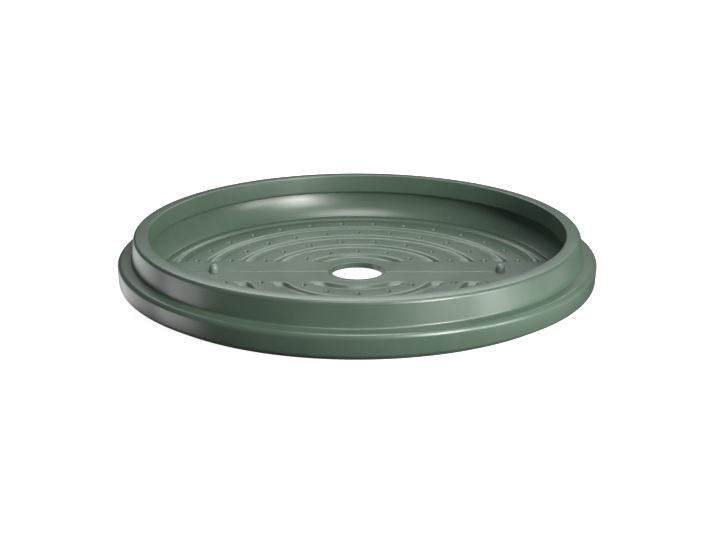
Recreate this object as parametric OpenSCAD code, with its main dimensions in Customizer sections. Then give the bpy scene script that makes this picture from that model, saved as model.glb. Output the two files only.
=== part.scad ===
// Round perforated base tray of a garden compost bin.
// The ring stands on the soil, the two half-moon floor plates lie in it and meet
// in a straight seam over a cross bar, and two pegs at the seam keep them in place.
// Z is up, z = 0 is the ground, and the seam runs along X.

/* [Ring] */
// Outer radius of the skirt, the widest part of the tray
skirt_r = 400; // [380:1:460]
// Height of the ledge that the bin body stands on
ledge_z = 46.5; // [42:0.5:60]
// Width of the ledge between the collar and the outside of the skirt
ledge_w = 24.5; // [20:0.5:34]
// Height of the collar's rim above the ledge
collar_h = 41.5; // [34:0.5:60]
// Width of the flat rim across both collar walls
rim_w = 25; // [22:0.5:30]
// How far the collar leans inwards from the ledge to the rim
collar_draft = 4; // [1:0.5:6]
// Wall thickness of the ring
ring_wall = 4; // [3:0.25:5]
// Radius of the rounding at the outer edge of the ledge
ledge_round = 8; // [6:0.5:10]
// Radius of the curl at the bottom of the skirt
curl_r = 8; // [6:0.5:10]
// Height of the skirt's lowest edge above the ground
skirt_lift = 8; // [5:0.5:12]
// Width of the gap between the foot wall and the skirt's curled edge
curl_gap = 7; // [5:0.5:9]
// How far the skirt leans inwards at its foot
skirt_draft = 2; // [0.5:0.5:4]

/* [Inner wall] */
// Height of the upper band of the inner wall
band_h = 34; // [24:1:40]
// How far the lower wall lies behind the upper band
band_step = 11; // [6:0.5:14]
// How far the lower wall sweeps inwards on its way down to the floor
cove_w = 23; // [16:1:28]
// Lean of the lower wall at its top, in degrees
wall_lean = 7; // [3:1:12]
// Width of the seat that the floor plates rest on
seat_w = 7.5; // [6:0.5:12]

/* [Floor] */
// Height of the top of the floor plates
floor_z = 10.5; // [9:0.25:13]
// Thickness of the floor plates
floor_t = 3; // [2.5:0.1:3.5]
// Radius of the inner edge of the first channel
channel_r = 74; // [68:1:90]
// Width of a channel at its top
channel_w = 24; // [16:1:26]
// Distance of the last channel's outer edge from the seat
channel_margin = 3.5; // [3:0.5:8]
// Number of channels
channel_n = 5; // [2:1:5]
// How far each side wall of a channel leans
channel_lean = 2; // [1:0.25:4]
// Depth of a channel
channel_d = 7; // [4:0.25:7.25]
// Half width of the strip without channels or drain holes
strip_y = 54; // [45:1:62]
// How far the end wall of a channel leans
end_lean = 9; // [1:0.5:12]
// Radius of the centre hole
hole_r = 44.5; // [35:0.5:52]
// Height of the hole's collar above the ground
spout_lift = 2.4; // [0.4:0.2:5]
// Height of the bead around the centre hole
bead_h = 1.6; // [0.5:0.1:3]
// Width of the bead around the centre hole
bead_w = 5; // [3:0.5:8]
// Height of the lip along the seam of the front plate
lip_h = 1.2; // [0.4:0.1:2]
// Width of the lip along the seam of the front plate
lip_w = 3.5; // [2:0.5:6]

/* [Drain holes] */
// Diameter of a drain hole
drain_d = 6.5; // [4:0.25:9]
// Number of drain holes on each full circle, from the inside out
drain_counts = [14, 18, 24, 30];
// Share of one step by which each circle is turned
drain_turns = [0, 0.5, 0, 0.5];

/* [Cross bar and pegs] */
// Width of the cross bar
bar_w = 40; // [30:1:48]
// Thickness of the cross bar's walls
bar_t = 2.8; // [2:0.1:3.4]
// Outer radius of the cross bar's hub around the centre hole
hub_r = 66; // [60:0.5:69]
// Distance of a peg from the edge of the floor
peg_inset = 91.5; // [60:0.5:130]
// Radius of a peg at its foot
peg_r = 8.5; // [6:0.25:11]
// How much narrower a peg is below its domed top
peg_taper = 1.2; // [0:0.1:2]
// Height of a peg above the floor, without its domed top
peg_h = 8; // [3:0.5:12]
// Height of a peg's domed top
peg_dome = 5.5; // [3:0.25:6]
// Radius of a peg's stem in the cross bar
stem_r = 5; // [4:0.25:5.5]

/* [Fits] */
// Gap between pieces that rest on each other
rest_gap = 0.3; // [0.2:0.05:0.5]
// Gap around the edge of the floor plates
edge_gap = 0.8; // [0.5:0.1:1.5]
// Gap between a floor plate and a peg
peg_gap = 0.5; // [0.3:0.05:1]
// Gap of a peg's stem in its hole
stem_gap = 0.05; // [0.02:0.01:0.1]
// Height of the floor plates and the cross bar above the ground
ground_gap = 0.4; // [0.2:0.1:1]

/* [Hidden] */
$fn = 128;
arc_n = 6;
over = 1;
rim_round = 4;
rim_in_round = 3;
band_round = 2;
collar_fillet = 3;
cove_rise = 0.5;
undercut_drop = 1.5;
heel_back = 4.5;
hub_gap = 4;
stem_rise = 1;
boss_wall = 3;

rim_z = ledge_z + collar_h;
collar_r = skirt_r - ledge_w;
rim_out_r = collar_r - collar_draft;
rim_in_r = rim_out_r - rim_w;
band_z = rim_z - band_h;
wall_r = rim_in_r + band_step;
foot_r = collar_r + collar_fillet;
curl_x = skirt_r - skirt_draft - curl_r;
curl_in = foot_r + curl_gap;
cove_x = wall_r - cove_w;
seat_z = floor_z - floor_t - rest_gap;
seat_in_r = cove_x - seat_w;
floor_r = cove_x - edge_gap;
channel_pitch = (seat_in_r - channel_margin - channel_w - channel_r) / (channel_n - 1);
peg_x = floor_r - peg_inset;
undercut_z = band_z - undercut_drop;
cove_h = undercut_z - floor_z - cove_rise;
cove_half = atan(cove_w / cove_h) - wall_lean;
cove_r = norm([cove_w, cove_h]) / (2 * sin(cove_half));
cove_mid_r = wall_r - cove_r * cos(wall_lean);
cove_mid_z = undercut_z + cove_r * sin(wall_lean);
cove_from = 360 - wall_lean;
cove_to = cove_from - 2 * cove_half;
trough_t = floor_z - channel_d - ground_gap;

bar_z = seat_z;
bar_end = cove_x - rest_gap;
bar_low_end = sqrt(seat_in_r * seat_in_r - bar_w * bar_w / 4) - rest_gap;
notch_end = cove_x + 2 * rest_gap;
notch_z = bar_z - bar_t - rest_gap;
heel_turn = cove_to + heel_back;
heel_x = cove_mid_r + (cove_r + ring_wall) * cos(heel_turn);
heel_z = notch_z - ring_wall / 2;
hub_in_r = hole_r + floor_t + hub_gap;
stem_low = ground_gap + stem_rise;
boss_r = stem_r + boss_wall;

// Points on an arc about (x, z), from angle a to angle b
function arc(x, z, r, a, b) =
    [for (i = [0:arc_n]) let (t = a + (b - a) * i / arc_n) [x + r * cos(t), z + r * sin(t)]];

// Outside of the ring's section, from the inner foot round by the skirt and the rim
module ring_outside() {
    polygon(concat(
        [[seat_in_r, 0], [foot_r, 0], [foot_r, skirt_lift], [curl_in, skirt_lift]],
        arc(curl_x, skirt_lift + curl_r, curl_r, 270, 360),
        arc(skirt_r - ledge_round, ledge_z - ledge_round, ledge_round, 0, 90),
        arc(collar_r + collar_fillet, ledge_z + collar_fillet, collar_fillet, 270, 180),
        arc(rim_out_r - rim_round, rim_z - rim_round, rim_round, 0, 90),
        arc(rim_in_r + rim_in_round, rim_z - rim_in_round, rim_in_round, 90, 180),
        arc(rim_in_r + band_round, band_z + band_round, band_round, 180, 270),
        arc(cove_mid_r, cove_mid_z, cove_r, cove_from, cove_to),
        [[cove_x, seat_z], [seat_in_r, seat_z]]
    ));
}

// Hollow between the two collar walls, open to the ground
module ring_hollow() {
    polygon(concat(
        [[seat_in_r + ring_wall, -over], [foot_r - ring_wall, -over]],
        [[foot_r - ring_wall, ledge_z - ring_wall], [collar_r - ring_wall, ledge_z + collar_fillet]],
        [[rim_out_r - ring_wall, rim_z - ring_wall], [rim_in_r + ring_wall, rim_z - ring_wall]],
        [[rim_in_r + ring_wall, band_z + ring_wall], [wall_r + ring_wall, undercut_z + ring_wall]],
        arc(cove_mid_r, cove_mid_z, cove_r + ring_wall, cove_from, heel_turn),
        [[heel_x, heel_z], [seat_in_r + ring_wall, heel_z]]
    ));
}

// Hollow between the foot wall and the skirt, open at the curled edge
module skirt_hollow() {
    in_r = curl_r - ring_wall;
    top_r = ledge_round - ring_wall;
    polygon(concat(
        [[foot_r, skirt_lift - over], [curl_in, skirt_lift - over], [curl_in, skirt_lift + ring_wall]],
        arc(curl_x, skirt_lift + curl_r, in_r, 270, 360),
        arc(skirt_r - ledge_round, ledge_z - ledge_round, top_r, 0, 90),
        [[foot_r, ledge_z - ring_wall]]
    ));
}

module base_ring() {
    color([0.40, 0.46, 0.41])
    difference() {
        rotate_extrude() difference() {
            ring_outside();
            ring_hollow();
            skirt_hollow();
        }
        for (side = [0, 180]) rotate(side) translate([seat_in_r - 2 * over, 0, notch_z])
            bar_block(bar_w + 2 * rest_gap, notch_end - seat_in_r + 2 * over, seat_z - notch_z + over);
    }
}

// Block along X from the origin, centred on Y
module bar_block(width, length, height) {
    translate([0, -width / 2, 0]) cube([length, width, height]);
}

// Section of one channel, grown by a wall when the outside of its trough is wanted
module channel_section(r, grow) {
    low = floor_z - channel_d - grow;
    polygon([
        [r - grow, floor_z],
        [r + channel_lean - grow, low],
        [r + channel_w - channel_lean + grow, low],
        [r + channel_w + grow, floor_z]
    ]);
}

// Turns the children, drawn for a channel at radius zero, round every channel's circle
module around_channels() {
    rotate_extrude() for (i = [0:channel_n - 1]) translate([channel_r + i * channel_pitch, 0]) children();
}

// Takes the strip along the seam out of the children, and leaves them leaning ends
module outside_strip(half) {
    lean = end_lean / channel_d;
    low = half + lean * (floor_z + over);
    high = half - lean * over;
    difference() {
        children();
        rotate([90, 0, 90]) linear_extrude(height = 2 * skirt_r, center = true)
            polygon([[-low, -over], [low, -over], [high, floor_z + over], [-high, floor_z + over]]);
    }
}

// Outside of the channels' troughs, with an end wall at the strip
module troughs() {
    outside_strip(strip_y - trough_t) around_channels() channel_section(0, trough_t);
}

// Space inside the channels
module channel_space() {
    outside_strip(strip_y) around_channels() {
        channel_section(0, 0);
        translate([0, floor_z]) square([channel_w, over / 2]);
    }
}

// Drain holes in the middle of each land between two channels
module drain_holes() {
    for (ring = [0:len(drain_counts) - 1]) {
        r = channel_r + ring * channel_pitch + (channel_w + channel_pitch) / 2;
        step = 360 / drain_counts[ring];
        for (i = [0:drain_counts[ring] - 1]) {
            a = 90 + (i + drain_turns[ring]) * step;
            if (abs(r * sin(a)) > strip_y)
                translate([r * cos(a), r * sin(a), -over])
                    cylinder(h = floor_z + 2 * over, d = drain_d, $fn = 32);
        }
    }
}

// Whole floor disc, before it is parted along the seam
module floor_disc() {
    difference() {
        union() {
            translate([0, 0, floor_z - floor_t]) cylinder(h = floor_t, r = floor_r);
            troughs();
            translate([0, 0, spout_lift]) cylinder(h = floor_z - spout_lift, r = hole_r + floor_t);
            hole_bead();
        }
        channel_space();
        drain_holes();
        translate([0, 0, -over]) cylinder(h = floor_z + bead_h + 2 * over, r = hole_r);
        for (side = [-1, 1]) translate([side * peg_x, 0, -over])
            cylinder(h = floor_z + lip_h + 2 * over, r = peg_r + peg_gap);
    }
}

// Rounded bead around the centre hole
module hole_bead() {
    rotate_extrude() polygon(concat(
        [[hole_r - over, floor_z - floor_t / 2], [hole_r + bead_w, floor_z - floor_t / 2]],
        [for (i = [0:arc_n]) [hole_r + bead_w * cos(90 * i / arc_n), floor_z + bead_h * sin(90 * i / arc_n)]],
        [[hole_r - over, floor_z + bead_h]]
    ));
}

// One half of the floor: side is 1 for the rear and -1 for the front
module floor_half(side) {
    low = side > 0 ? rest_gap : -skirt_r;
    intersection() {
        floor_disc();
        translate([-skirt_r, low, -over]) cube([2 * skirt_r, skirt_r - rest_gap, floor_z + 10 * over]);
    }
}

// Low lip along the seam, broken at the centre hole and at the pegs
module seam_lip() {
    difference() {
        intersection() {
            translate([-floor_r, -rest_gap - lip_w, floor_z - floor_t / 2])
                cube([2 * floor_r, lip_w, floor_t / 2 + lip_h]);
            cylinder(h = floor_z + 2 * lip_h, r = floor_r);
        }
        translate([0, 0, -over]) cylinder(h = floor_z + lip_h + 2 * over, r = hole_r);
        for (side = [-1, 1]) translate([side * peg_x, 0, -over])
            cylinder(h = floor_z + lip_h + 2 * over, r = peg_r + peg_gap);
    }
}

module floor_front() {
    color([0.44, 0.50, 0.45]) union() {
        floor_half(-1);
        seam_lip();
    }
}

module floor_rear() {
    color([0.42, 0.48, 0.43]) floor_half(1);
}

// Bar under the seam, an upturned trough with a hub around the centre hole
module cross_bar() {
    color([0.34, 0.40, 0.35])
    difference() {
        union() {
            difference() {
                for (side = [0, 180]) rotate(side) translate([0, 0, ground_gap])
                    bar_block(bar_w, bar_low_end, bar_z - ground_gap);
                for (side = [0, 180]) rotate(side) translate([0, 0, ground_gap - over])
                    bar_block(bar_w - 2 * bar_t, bar_low_end - bar_t, bar_z - bar_t - ground_gap + over);
            }
            for (side = [0, 180]) rotate(side) translate([0, 0, bar_z - bar_t])
                bar_block(bar_w, bar_end, bar_t);
            for (side = [-1, 1]) translate([side * peg_x, 0, ground_gap])
                cylinder(h = bar_z - ground_gap, r = boss_r);
            translate([0, 0, ground_gap]) cylinder(h = bar_z - ground_gap, r = hub_r);
        }
        translate([0, 0, -over]) cylinder(h = bar_z + 2 * over, r = hub_in_r);
        for (side = [-1, 1]) translate([side * peg_x, 0, -over])
            cylinder(h = bar_z + 2 * over, r = stem_r + stem_gap);
    }
}

// Push-in peg with a domed head, standing on the cross bar
module peg(side) {
    color([0.46, 0.52, 0.47])
    translate([side * peg_x, 0, 0]) {
        translate([0, 0, stem_low]) cylinder(h = bar_z - stem_low + over, r = stem_r);
        rotate_extrude() polygon(concat(
            [[0, bar_z], [peg_r, bar_z]],
            [for (i = [0:2 * arc_n]) let (t = 90 * i / (2 * arc_n))
                [(peg_r - peg_taper) * cos(t), floor_z + peg_h + peg_dome * sin(t)]]
        ));
    }
}

module peg_left() {
    peg(-1);
}

module peg_right() {
    peg(1);
}

base_ring();
cross_bar();
floor_front();
floor_rear();
peg_left();
peg_right();
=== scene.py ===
import math
import bmesh
import bpy
from mathutils import Matrix, Vector


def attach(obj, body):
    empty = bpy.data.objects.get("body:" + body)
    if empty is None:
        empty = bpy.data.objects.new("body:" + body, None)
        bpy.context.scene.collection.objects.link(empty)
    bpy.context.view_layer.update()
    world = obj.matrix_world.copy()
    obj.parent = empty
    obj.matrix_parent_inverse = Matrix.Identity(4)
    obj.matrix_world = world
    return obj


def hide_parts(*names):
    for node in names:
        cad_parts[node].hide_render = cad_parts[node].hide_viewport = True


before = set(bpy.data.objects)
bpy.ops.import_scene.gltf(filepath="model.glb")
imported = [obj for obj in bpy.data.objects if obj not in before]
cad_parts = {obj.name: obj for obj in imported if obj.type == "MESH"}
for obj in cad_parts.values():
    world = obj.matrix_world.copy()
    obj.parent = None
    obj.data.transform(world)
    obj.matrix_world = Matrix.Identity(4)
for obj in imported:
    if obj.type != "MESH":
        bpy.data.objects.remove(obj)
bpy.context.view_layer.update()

scene = bpy.context.scene
mm = 0.001  # every size below is in millimetres
weld, sliver, onPlane = 0.01 * mm, 0.002 * mm, 0.001 * mm  # joined vertices, dropped edges, verts on a plane


def roundCorner(bm, vert, radius, segments):
    first, second = [(edge.other_vert(vert).co - vert.co).normalized() for edge in vert.link_edges]
    reach = radius / math.tan(first.angle(second) / 2)  # from the corner to where the curve starts
    bmesh.ops.bevel(bm, geom=[vert], offset=reach, offset_type='OFFSET', segments=segments,
                    profile=0.5, affect='VERTICES')


def drawOutline(bm, corners, closed, segments=6):
    # corners are (radius, height, rounding) in the plane y = 0
    verts = [bm.verts.new((x * mm, 0, z * mm)) for x, z, rounding in corners]
    pairs = list(zip(verts, verts[1:])) + ([(verts[-1], verts[0])] if closed else [])
    for pair in pairs:
        bm.edges.new(pair)
    rounded = [(vert, corner[2]) for vert, corner in zip(verts, corners) if corner[2] > 0]
    for vert, rounding in rounded:
        roundCorner(bm, vert, rounding * mm, segments)


def turn(bm, verts, edges, steps):
    bmesh.ops.spin(bm, geom=verts + edges, cent=(0, 0, 0), axis=(0, 0, 1), dvec=(0, 0, 0),
                   angle=math.tau, steps=steps, use_merge=True)


def closeUp(bm):
    bmesh.ops.remove_doubles(bm, verts=bm.verts[:], dist=weld)
    bmesh.ops.recalc_face_normals(bm, faces=bm.faces[:])


def sliceAt(bm, point, normal, geom=None, **settings):
    # adds edges where a plane through point, in millimetres, meets the mesh
    bmesh.ops.bisect_plane(bm, geom=geom or bm.verts[:] + bm.edges[:] + bm.faces[:], dist=onPlane,
                           plane_co=[value * mm for value in point], plane_no=normal, **settings)


def smoothShade(bm, degrees=32):
    limit = math.radians(degrees)
    for face in bm.faces:
        face.smooth = True
    for edge in bm.edges:
        edge.smooth = len(edge.link_faces) == 2 and edge.calc_face_angle(0) < limit


def makePiece(bm, name):
    mesh = bpy.data.meshes.new(name)
    bm.to_mesh(mesh)
    bm.free()
    piece = bpy.data.objects.new(name, mesh)
    scene.collection.objects.link(piece)
    return piece


def carve(piece, cutterBm):
    cutter = makePiece(cutterBm, piece.name + "Cutter")
    cut = piece.modifiers.new("carve", 'BOOLEAN')
    cut.operation = 'DIFFERENCE'
    cut.solver = 'EXACT'
    cut.object = cutter
    graph = bpy.context.evaluated_depsgraph_get()
    carved = bpy.data.meshes.new_from_object(piece.evaluated_get(graph))
    piece.modifiers.clear()
    bpy.data.objects.remove(cutter)
    bm = bmesh.new()
    bm.from_mesh(carved)
    bmesh.ops.dissolve_degenerate(bm, edges=bm.edges[:], dist=sliver)
    smoothShade(bm)
    bm.to_mesh(piece.data)
    bm.free()
    bpy.data.meshes.remove(carved)


def finishPiece(piece, material, body, slot, *nodes):
    piece.data.materials.clear()
    piece.data.materials.append(material)
    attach(piece, body)
    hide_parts(*nodes)
    print(piece.name, len(piece.data.polygons), "faces")


def linearColour(code, alpha=1.0):
    values = [int(code[i:i + 2], 16) / 255 for i in (0, 2, 4)]
    return [v / 12.92 if v <= 0.04045 else ((v + 0.055) / 1.055) ** 2.4 for v in values] + [alpha]


def addNode(tree, kind, inputs=None, links=None, **settings):
    node = tree.nodes.new(kind)
    for key, value in settings.items():
        setattr(node, key, value)
    for key, value in (inputs or {}).items():
        node.inputs[key].default_value = value
    for key, socket in (links or {}).items():
        tree.links.new(socket, node.inputs[key])
    return node


plastic = {
    "colour": "425347",       # grey-green masterbatch
    "paler": "4a5b4e",        # where the melt front left the pigment thinner
    "cloudSize": 90,          # mm, patches of pigment
    "flowWidth": 14,          # mm, flow lines across the wall
    "grain": 1.6,             # mm, the real spark-eroded grain is about 0.3 and drawn coarser to show
    "grainDepth": 0.05,       # mm
    "roughness": (0.28, 0.33),
    "ior": 1.54,
}


def mouldedPolyethylene(name, colour, paler, roughness):
    # high-density polyethylene, injection moulded in an eroded tool: satin, soft wide highlights, even colour
    material = bpy.data.materials.new(name)
    material.use_nodes = True
    tree = material.node_tree
    shader = tree.nodes["Principled BSDF"]
    place = addNode(tree, 'ShaderNodeTexCoord').outputs['Object']
    clouds = addNode(tree, 'ShaderNodeTexNoise',
                     {'Scale': 1 / (plastic["cloudSize"] * mm), 'Detail': 3.0, 'Roughness': 0.55}, {'Vector': place})
    stretch = addNode(tree, 'ShaderNodeMapping', {'Scale': (1.0, 1.0, 0.25)}, {'Vector': place})
    flow = addNode(tree, 'ShaderNodeTexNoise',
                   {'Scale': 1 / (plastic["flowWidth"] * mm), 'Detail': 2.0, 'Roughness': 0.5},
                   {'Vector': stretch.outputs['Vector']})
    blend = addNode(tree, 'ShaderNodeMix', {'Factor': 0.3},
                    {'A': clouds.outputs['Fac'], 'B': flow.outputs['Fac']}, data_type='FLOAT')
    range01 = addNode(tree, 'ShaderNodeMapRange', {'From Min': 0.3, 'From Max': 0.7},
                      {'Value': blend.outputs['Result']})
    tint = addNode(tree, 'ShaderNodeMix', {6: linearColour(colour), 7: linearColour(paler)},
                   {'Factor': range01.outputs['Result']}, data_type='RGBA')
    tree.links.new(tint.outputs[2], shader.inputs['Base Color'])
    gloss = addNode(tree, 'ShaderNodeMapRange',
                    {'From Min': 0.25, 'From Max': 0.75, 'To Min': roughness[0], 'To Max': roughness[1]},
                    {'Value': clouds.outputs['Fac']})
    tree.links.new(gloss.outputs['Result'], shader.inputs['Roughness'])
    grain = addNode(tree, 'ShaderNodeTexNoise', {'Scale': 1 / (plastic["grain"] * mm), 'Detail': 1.5},
                    {'Vector': place})
    bump = addNode(tree, 'ShaderNodeBump', {'Strength': 0.35, 'Distance': plastic["grainDepth"] * mm},
                   {'Height': grain.outputs['Fac']})
    tree.links.new(bump.outputs['Normal'], shader.inputs['Normal'])
    shader.inputs['IOR'].default_value = plastic["ior"]
    return material


ringPlastic = mouldedPolyethylene("ringPolyethylene", plastic["colour"], plastic["paler"], plastic["roughness"])
# the floor plates get the ring's green made paler: painted light, standing in for the light that falls on the floor
floorPlasticPaintedLight = mouldedPolyethylene("floorPolyethylenePaintedLight", "48594c", "506154", (0.32, 0.38))
barPlastic = mouldedPolyethylene("barPolyethylene", "3f5043", "47584b", (0.38, 0.46))
# the pegs get a much lighter copy of the same plastic: painted light, standing in for the light their shaded sides
# miss
pegPlasticPaintedLight = mouldedPolyethylene("pegPolyethylenePaintedLight", "62746a", "6a7c71", (0.36, 0.42))
print("materials made")

ring = {
    "steps": 256,
    "rounding": 7,  # segments of a rounded edge
    # (radius, height, rounding) round the section, first the inner leg, then from the hollow to the undercut
    "leg": [(327, 0, 0), (331, 0, 0), (331, 2.1, 0), (341, 2.1, 0)],
    "outside": [
        (361.5, 56.5, 0), (350.5, 58, 0), (350.5, 84, 0), (367.5, 84, 0), (371.5, 49.5, 0),
        (374.5, 42.5, 0), (374.5, 0, 0.6), (378.5, 0, 0.6), (378.5, 42.5, 1.5), (396, 42.5, 4),
        (394.2, 12, 4), (385.5, 12, 1.2), (385.5, 8, 1.2), (397.6, 8, 8), (400, 46.5, 8),
        (375.3, 46.5, 3), (371.6, 86.6, 5.5), (347.2, 88, 2.6), (346.1, 53.8, 5.5), (354, 52.7, 0),
    ],
    "seat": [(334.5, 7.2, 0), (327, 7.2, 0.6)],
    # the lower wall is one wide sweep: middle, radius, degrees below the level at its top and at the floor
    "sweep": {"middle": (294.63, 60.22), "radius": 63.34, "top": 7, "foot": 51, "heel": 46.5, "wall": 4,
              "segments": 14},
    "notch": (324, 335.1, 40.6, 4.1, 8.2),  # from, to, width, bottom, top
}


def sweepCorners(radius, start, end):
    (x, z), segments = ring["sweep"]["middle"], ring["sweep"]["segments"]
    angles = [math.radians(start + (end - start) * i / segments) for i in range(segments + 1)]
    return [(x + radius * math.cos(angle), z - radius * math.sin(angle), 0) for angle in angles]


def makeRing():
    bm = bmesh.new()
    sweep = ring["sweep"]
    back = sweepCorners(sweep["radius"] + sweep["wall"], sweep["heel"], sweep["top"])
    front = sweepCorners(sweep["radius"], sweep["top"], sweep["foot"])
    drawOutline(bm, ring["leg"] + back + ring["outside"] + front + ring["seat"], True, ring["rounding"])
    turn(bm, bm.verts[:], bm.edges[:], ring["steps"])
    closeUp(bm)
    smoothShade(bm)
    piece = makePiece(bm, "trayRing")
    start, end, width, bottom, top = ring["notch"]
    blocks = bmesh.new()
    for side in (-1, 1):
        size = Matrix.Diagonal(((end - start) * mm, width * mm, (top - bottom) * mm, 1))
        middle = Matrix.Translation((side * (start + end) / 2 * mm, 0, (bottom + top) / 2 * mm))
        bmesh.ops.create_cube(blocks, size=1, matrix=middle @ size)
    carve(piece, blocks)
    return piece


trayRing = makeRing()
finishPiece(trayRing, ringPlastic, "base", "ring_plastic", "base_ring")
print("ring made")

floor = {
    "steps": 288,
    "top": 10.5, "under": 7.5, "deep": 4.2, "low": 0.4,
    "edge": 333.7, "hole": 44.5, "hub": 47.5, "bead": 5, "beadFlat": 2.75, "beadHeight": 1.6,
    "firstChannel": 74, "pitch": 56.375, "channels": 5, "width": 24, "lean": 5,
    "strip": 54, "spout": 2.4, "draft": 2.1,
    "flattened": (70, 331.7),  # from, to: radii that the channels and their roundings lie between
    # distance beyond the strip and share of the channel's depth there: rounded end walls, shallower further off
    "endWall": [(-0.8, 0), (-0.2, 0.03), (0.6, 0.11), (1.6, 0.25), (5.6, 0.8), (6.6, 0.92), (7.6, 0.98), (8.4, 1),
                (12, 1), (18, 0.9), (30, 0.74), (60, 0.62)],
    "underWall": [(0.8, 0), (9.9, 1)],
    # distance from the seam and height of the lip there, on the front plate only
    "lip": [(0.3, 0.9), (0.7, 1.25), (1.4, 1.4), (2.2, 1.3), (2.8, 1.05), (3.3, 0.65), (3.6, 0.3), (3.8, 0)],
    "lipReach": (229, 232),  # from the middle, where the lip starts to fall and where it ends, short of the pegs
    "lipZone": (6, 9),  # how far from the seam and how high the faces start that the lip's ends are cut into
    "seamGap": 0.3,
}
drains = {"size": 6.8, "mouth": 12.4, "mouthDepth": 2.5, "counts": [14, 18, 24, 30], "turns": [0, 0.5, 0, 0.5],
          "low": -1, "clear": 2}
pegs = {"x": 242.2, "radius": 8.5, "gap": 0.5, "seat": 7.2, "side": 15.5, "taper": 0.8, "top": 24, "stem": 5,
        "stemLow": 1.4, "domeSteps": 8, "hole": (-10, 30)}


def between(table, value):
    # the share at value, straight between the table's entries
    if value <= table[0][0]:
        return table[0][1]
    for (a, low), (b, high) in zip(table, table[1:]):
        if value <= b:
            return low + (high - low) * (value - a) / (b - a)
    return table[-1][1]


def cutLines(bm):
    # adds edges along straight lines beside the seam, where either sheet bends, so that their edges still meet
    for side in (-1, 1):
        for offset, _ in floor["endWall"] + floor["underWall"]:
            sliceAt(bm, (0, side * (floor["strip"] + offset), 0), (0, 1, 0))


def flatten(bm, flat, table):
    # lifts the channels back to the flat height over the strip along the seam
    start, end = floor["flattened"]
    for vert in bm.verts:
        if start < math.hypot(vert.co.x, vert.co.y) / mm < end:
            share = between(table, abs(vert.co.y) / mm - floor["strip"])
            vert.co.z = flat * mm + (vert.co.z - flat * mm) * share


def upperSheet():
    bm = bmesh.new()
    f = floor
    corners = [(f["hole"], f["spout"], 0), (f["hole"], f["top"] + f["beadHeight"], 1.2),
               (f["hole"] + f["beadFlat"], f["top"] + f["beadHeight"], 1.5),
               (f["hole"] + f["bead"], f["top"], 1.5)]
    for i in range(f["channels"]):
        start = f["firstChannel"] + i * f["pitch"]
        corners += [(start, f["top"], 5.5), (start + f["lean"], f["deep"], 5),
                    (start + f["width"] - f["lean"], f["deep"], 5), (start + f["width"], f["top"], 5.5)]
    corners += [(f["edge"], f["top"], 0.9), (f["edge"], f["under"], 0)]
    drawOutline(bm, corners, False, 5)
    turn(bm, bm.verts[:], bm.edges[:], f["steps"])
    cutLines(bm)
    flatten(bm, f["top"], f["endWall"])
    return bm


def underSheet():
    bm = bmesh.new()
    f = floor
    corners = [(f["hole"], f["spout"], 0), (f["hub"], f["spout"], 0.8), (f["hub"], f["under"], 1)]
    for i in range(f["channels"]):
        start = f["firstChannel"] + i * f["pitch"] - 0.1
        end = start + f["width"] + 0.2
        corners += [(start - f["draft"], f["under"], 1), (start, f["low"], 0.8),
                    (end, f["low"], 0.8), (end + f["draft"], f["under"], 1)]
    corners += [(f["edge"], f["under"], 0)]
    drawOutline(bm, corners, False, 3)
    turn(bm, bm.verts[:], bm.edges[:], f["steps"])
    cutLines(bm)
    flatten(bm, f["under"], f["underWall"])
    return bm


def drainPlaces():
    places = []
    for circle, (count, turned) in enumerate(zip(drains["counts"], drains["turns"])):
        radius = floor["firstChannel"] + circle * floor["pitch"] + (floor["width"] + floor["pitch"]) / 2
        for i in range(count):
            angle = math.radians(90) + (i + turned) * math.tau / count
            x, y = radius * math.cos(angle), radius * math.sin(angle)
            if abs(y) > floor["strip"]:
                places.append((x, y))
    return places


def drainCutters(side):
    bm = bmesh.new()
    half, mouth, low, high = drains["size"] / 2, drains["mouth"] / 2, drains["low"], floor["top"] + drains["clear"]
    corners = [(0, low, 0), (half, low, 0), (half, floor["top"] - drains["mouthDepth"], 1.2),
               (mouth, floor["top"] + 0.05, 0), (mouth, high, 0), (0, high, 0)]
    drawOutline(bm, corners, False, 3)
    turn(bm, bm.verts[:], bm.edges[:], 24)
    closeUp(bm)
    first = bm.verts[:] + bm.edges[:] + bm.faces[:]
    places = [p for p in drainPlaces() if p[1] * side > 0]
    for x, y in places[1:]:
        copy = bmesh.ops.duplicate(bm, geom=first)["geom"]
        bmesh.ops.translate(bm, vec=(x * mm, y * mm, 0), verts=[g for g in copy if isinstance(g, bmesh.types.BMVert)])
    bmesh.ops.translate(bm, vec=(places[0][0] * mm, places[0][1] * mm, 0),
                        verts=[g for g in first if isinstance(g, bmesh.types.BMVert)])
    radius, (low, high) = (pegs["radius"] + pegs["gap"]) * mm, pegs["hole"]
    for x in (-pegs["x"], pegs["x"]):
        bmesh.ops.create_cone(bm, cap_ends=True, segments=48, radius1=radius, radius2=radius,
                              depth=(high - low) * mm,
                              matrix=Matrix.Translation((x * mm, 0, (low + high) / 2 * mm)))
    return bm


def raiseLip(bm):
    # the front plate's low lip along the seam
    for offset, _ in floor["lip"][1:]:
        sliceAt(bm, (0, -offset, 0), (0, 1, 0))
    (full, end), (width, low) = floor["lipReach"], floor["lipZone"]
    for x in (-end, -full, full, end):
        near = [face for face in bm.faces if all(v.co.y > -width * mm and v.co.z > low * mm for v in face.verts)]
        edges = list(dict.fromkeys(edge for face in near for edge in face.edges))
        verts = list(dict.fromkeys(vert for face in near for vert in face.verts))
        sliceAt(bm, (x, 0, 0), (1, 0, 0), verts + edges + near)
    for vert in bm.verts:
        x, offset, z = abs(vert.co.x) / mm, -vert.co.y / mm, vert.co.z / mm
        if z > floor["top"] - 0.3 and x < full + 0.01 and offset < floor["lip"][-1][0]:
            vert.co.z = max(z, floor["top"] + between(floor["lip"], offset)) * mm


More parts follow.
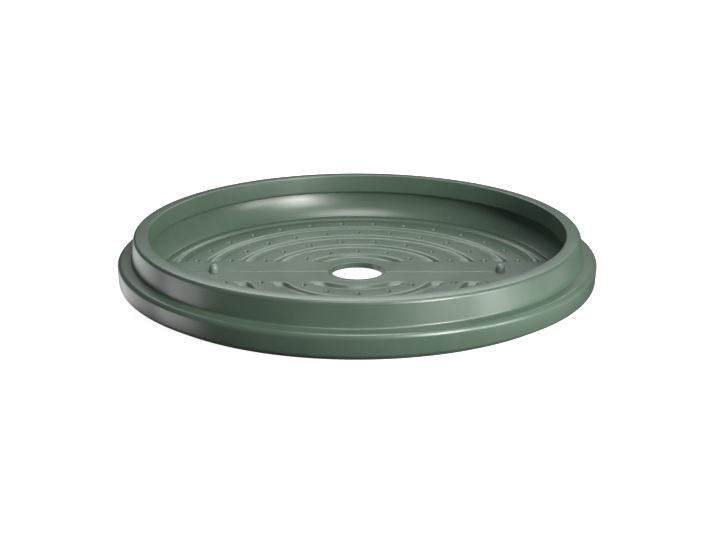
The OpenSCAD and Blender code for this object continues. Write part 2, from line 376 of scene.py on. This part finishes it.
def makeHalf(name, side, upper, under):
    bm = bmesh.new()
    bm.from_mesh(upper)
    bm.from_mesh(under)
    closeUp(bm)
    sliceAt(bm, (0, side * floor["seamGap"], 0), (0, side, 0), clear_inner=True)
    if side < 0:
        raiseLip(bm)
    seam = [edge for edge in bm.edges if len(edge.link_faces) == 1]
    bmesh.ops.edgeloop_fill(bm, edges=seam)
    closeUp(bm)
    smoothShade(bm)
    piece = makePiece(bm, name)
    carve(piece, drainCutters(side))
    return piece


upperBm, underBm = upperSheet(), underSheet()
upperMesh, underMesh = bpy.data.meshes.new("upperSheet"), bpy.data.meshes.new("underSheet")
upperBm.to_mesh(upperMesh)
underBm.to_mesh(underMesh)
upperBm.free()
underBm.free()
frontPlate = makeHalf("floorPlateFront", -1, upperMesh, underMesh)
finishPiece(frontPlate, floorPlasticPaintedLight, "front_plate", "floor_plastic", "floor_front")
rearPlate = makeHalf("floorPlateRear", 1, upperMesh, underMesh)
finishPiece(rearPlate, floorPlasticPaintedLight, "rear_plate", "floor_plastic", "floor_rear")
bpy.data.meshes.remove(upperMesh)
bpy.data.meshes.remove(underMesh)
print("floor plates made")


def makePeg(name, x):
    bm = bmesh.new()
    p = pegs
    corners = [(0, p["stemLow"], 0), (p["stem"], p["stemLow"], 0.8), (p["stem"], p["seat"], 0),
               (p["radius"], p["seat"], 0.5)]
    for i in range(p["domeSteps"] + 1):
        angle = math.radians(90) * i / p["domeSteps"]
        corners.append(((p["radius"] - p["taper"]) * math.cos(angle),
                        p["side"] + (p["top"] - p["side"]) * math.sin(angle), 0))
    drawOutline(bm, corners, False, 5)
    turn(bm, bm.verts[:], bm.edges[:], 48)
    closeUp(bm)
    bmesh.ops.translate(bm, vec=(x * mm, 0, 0), verts=bm.verts[:])
    smoothShade(bm)
    return makePiece(bm, name)


for name, node, x in (("pegLeft", "peg_left", -pegs["x"]), ("pegRight", "peg_right", pegs["x"])):
    finishPiece(makePeg(name, x), pegPlasticPaintedLight, "base", "peg_plastic", node)

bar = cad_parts["cross_bar"]
bar.data.materials.clear()
bar.data.materials.append(barPlastic)
print("pegs and bar made")

# a plain pale floor
stageLook = {"size": 12, "colour": "f4f4f2", "roughness": 0.6, "glow": 0.93, "fill": 0.08}
groundBm = bmesh.new()
bmesh.ops.create_grid(groundBm, x_segments=1, y_segments=1, size=stageLook["size"])
ground = makePiece(groundBm, "ground")
groundPaint = bpy.data.materials.new("paleFloorPaint")
groundPaint.use_nodes = True
groundShader = groundPaint.node_tree.nodes["Principled BSDF"]
groundShader.inputs['Base Color'].default_value = linearColour(stageLook["colour"])
groundShader.inputs['Roughness'].default_value = stageLook["roughness"]
groundShader.inputs['Emission Color'].default_value = (1, 1, 1, 1)
groundShader.inputs['Emission Strength'].default_value = stageLook["glow"]
ground.data.materials.append(groundPaint)
# the low lamps stand for the light that a lit white ground throws back
ground.visible_diffuse = ground.visible_glossy = ground.visible_shadow = False

# azimuth from the camera's side towards the right, elevation, distance, size, power, colour
lamps = {
    "keyRight": (37, 16, 2.6, (0.8, 0.8), 60, "fffdfa"),
    "keyHigh": (37, 34, 2.6, (0.9, 0.8), 34, "ffffff"),
    "keyWide": (62, 9, 2.6, (0.8, 1.1), 31, "ffffff"),
    "overhead": (12, 80, 2.6, (1.1, 0.9), 32, "ffffff"),
    "overRight": (45, 55, 2.6, (1.2, 0.9), 6, "ffffff"),
    "backHigh": (180, 44, 2.8, (2.6, 1.2), 40, "ffffff"),
    "lowBackLeft": (-128, -12, 2.6, (1.8, 0.9), 9, "ffffff"),
    "lowLeft": (-88, -13, 2.6, (1.2, 1.0), 13, "ffffff"),
    "lowRight": (74, -8, 2.6, (1.3, 0.8), 6, "ffffff"),
    "lowBackRight": (105, -8, 2.6, (1.2, 1.0), 3, "ffffff"),
}
for name, (azimuth, elevation, distance, size, power, colour) in lamps.items():
    light = bpy.data.lights.new(name, 'AREA')
    light.shape = 'RECTANGLE'
    light.size, light.size_y = size
    light.energy = power
    light.color = linearColour(colour)[:3]
    lamp = bpy.data.objects.new(name, light)
    turnBy, lift = math.radians(azimuth), math.radians(elevation)
    lamp.location = Vector((math.sin(turnBy) * math.cos(lift), -math.cos(turnBy) * math.cos(lift),
                            math.sin(lift))) * distance
    lamp.rotation_euler = (-lamp.location).to_track_quat('-Z', 'Y').to_euler()
    scene.collection.objects.link(lamp)

world = bpy.data.worlds.new("studio")
world.use_nodes = True
tree = world.node_tree
fill = tree.nodes["Background"]
fill.inputs['Color'].default_value = (1, 1, 1, 1)
fill.inputs['Strength'].default_value = stageLook["fill"]
white = addNode(tree, 'ShaderNodeBackground', {'Color': (1, 1, 1, 1), 'Strength': 1.0})
path = addNode(tree, 'ShaderNodeLightPath')
mixed = addNode(tree, 'ShaderNodeMixShader', {},
                {0: path.outputs['Is Camera Ray'], 1: fill.outputs[0], 2: white.outputs[0]})
tree.links.new(mixed.outputs[0], tree.nodes["World Output"].inputs[0])
scene.world = world
scene.view_settings.view_transform = 'Standard'

# fitted to the outlines of the rim, the ledge and the foot; focal length, middle and size in pixels
view = {"distance": 2.5, "elevation": 18.5, "focal": 1476, "middle": (357.1, 277.2), "size": (716, 540)}
camera = bpy.data.objects.new("camera", bpy.data.cameras.new("camera"))
scene.collection.objects.link(camera)
scene.camera = camera
lift = math.radians(view["elevation"])
camera.location = (0, -view["distance"] * math.cos(lift), view["distance"] * math.sin(lift))
offX, offY = [(middle - size / 2) / view["focal"] for middle, size in zip(view["middle"], view["size"])]
camera.rotation_euler = (math.pi / 2 - lift + offY, 0, offX)
camera.data.sensor_width = 36
camera.data.lens = view["focal"] * camera.data.sensor_width / view["size"][0]
print("stage made")
